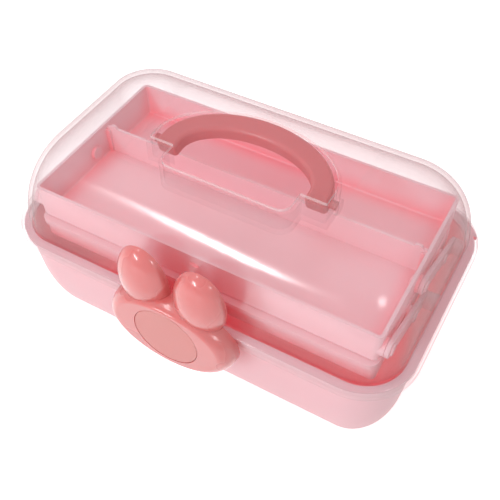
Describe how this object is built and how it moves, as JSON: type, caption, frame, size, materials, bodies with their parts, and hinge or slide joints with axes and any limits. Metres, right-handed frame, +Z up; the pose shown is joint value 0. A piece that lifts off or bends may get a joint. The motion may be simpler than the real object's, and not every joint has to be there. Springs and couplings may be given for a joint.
{
  "type": "hair accessory organizer box",
  "caption": "Rounded storage box with a clear hinged lid, sunk carry handle, rabbit-head latch and two lift-up trays on link arms.",
  "frame": {"origin": "centre of the flat underside of the tub", "axes": "+X along the box to its right end, +Y to the rear hinges, +Z up"},
  "size_m": [0.255, 0.1717, 0.1329],
  "materials": {
    "tub_plastic": "glossy pale pink polypropylene",
    "clear_plastic": "clear polystyrene",
    "pink_plastic": "glossy pink polypropylene",
    "latch_plastic": "glossy rose polypropylene",
    "disc_plastic": "satin rose disc",
    "steel": "drawn steel wire"
  },
  "bodies": {
    "tub": {"base_box": "tub_plastic", "base_rivets": "pink_plastic", "left_hinge_pin": "steel", "right_hinge_pin": "steel"},
    "lid": {"clear_lid": "clear_plastic"},
    "handle": {"carry_handle": "pink_plastic"},
    "latch": {"latch_head": "latch_plastic", "latch_disc": "disc_plastic", "latch_pin": "steel"},
    "front_arms": {"left_front_arm": "pink_plastic", "right_front_arm": "pink_plastic"},
    "rear_arms": {"left_rear_arm": "pink_plastic", "right_rear_arm": "pink_plastic"},
    "lower_layer": {"lower_tray": "pink_plastic", "lower_divider": "pink_plastic", "lower_tray_rivets": "pink_plastic"},
    "upper_layer": {"upper_tray": "pink_plastic", "upper_divider": "pink_plastic", "upper_tray_rivets": "pink_plastic"}
  },
  "joints": [
    {"name": "lid_hinge", "type": "hinge", "parent": "tub", "child": "lid", "pos_m": [0, 0.0805, 0.075], "axis": [-1, 0, 0], "range_deg": [0, 100]},
    {"name": "handle_hinge", "type": "hinge", "parent": "lid", "child": "handle", "pos_m": [0, -0.0025, 0.1225], "axis": [1, 0, 0], "range_deg": [0, 80]},
    {"name": "latch_hinge", "type": "hinge", "parent": "tub", "child": "latch", "pos_m": [0, -0.0786, 0.056], "axis": [1, 0, 0], "range_deg": [0, 30]},
    {"name": "front_arm_pivot", "type": "hinge", "parent": "tub", "child": "front_arms", "pos_m": [0, 0.008, 0.066], "axis": [-1, 0, 0], "range_deg": [0, 47]},
    {"name": "rear_arm_pivot", "type": "hinge", "parent": "tub", "child": "rear_arms", "pos_m": [0, 0.054, 0.066], "axis": [-1, 0, 0], "range_deg": [0, 47]},
    {"name": "lower_tray_pivot", "type": "hinge", "parent": "front_arms", "child": "lower_layer", "pos_m": [0, -0.01346, 0.07525], "axis": [1, 0, 0], "range_deg": [0, 47]},
    {"name": "upper_tray_pivot", "type": "hinge", "parent": "front_arms", "child": "upper_layer", "pos_m": [0, -0.05, 0.091], "axis": [1, 0, 0], "range_deg": [0, 47]}
  ],
  "couplings": [
    {"joint": "front_arm_pivot", "follows": "lid_hinge", "ratio": 0.47},
    {"joint": "rear_arm_pivot", "follows": "lid_hinge", "ratio": 0.47},
    {"joint": "lower_tray_pivot", "follows": "lid_hinge", "ratio": 0.47},
    {"joint": "upper_tray_pivot", "follows": "lid_hinge", "ratio": 0.47}
  ]
}
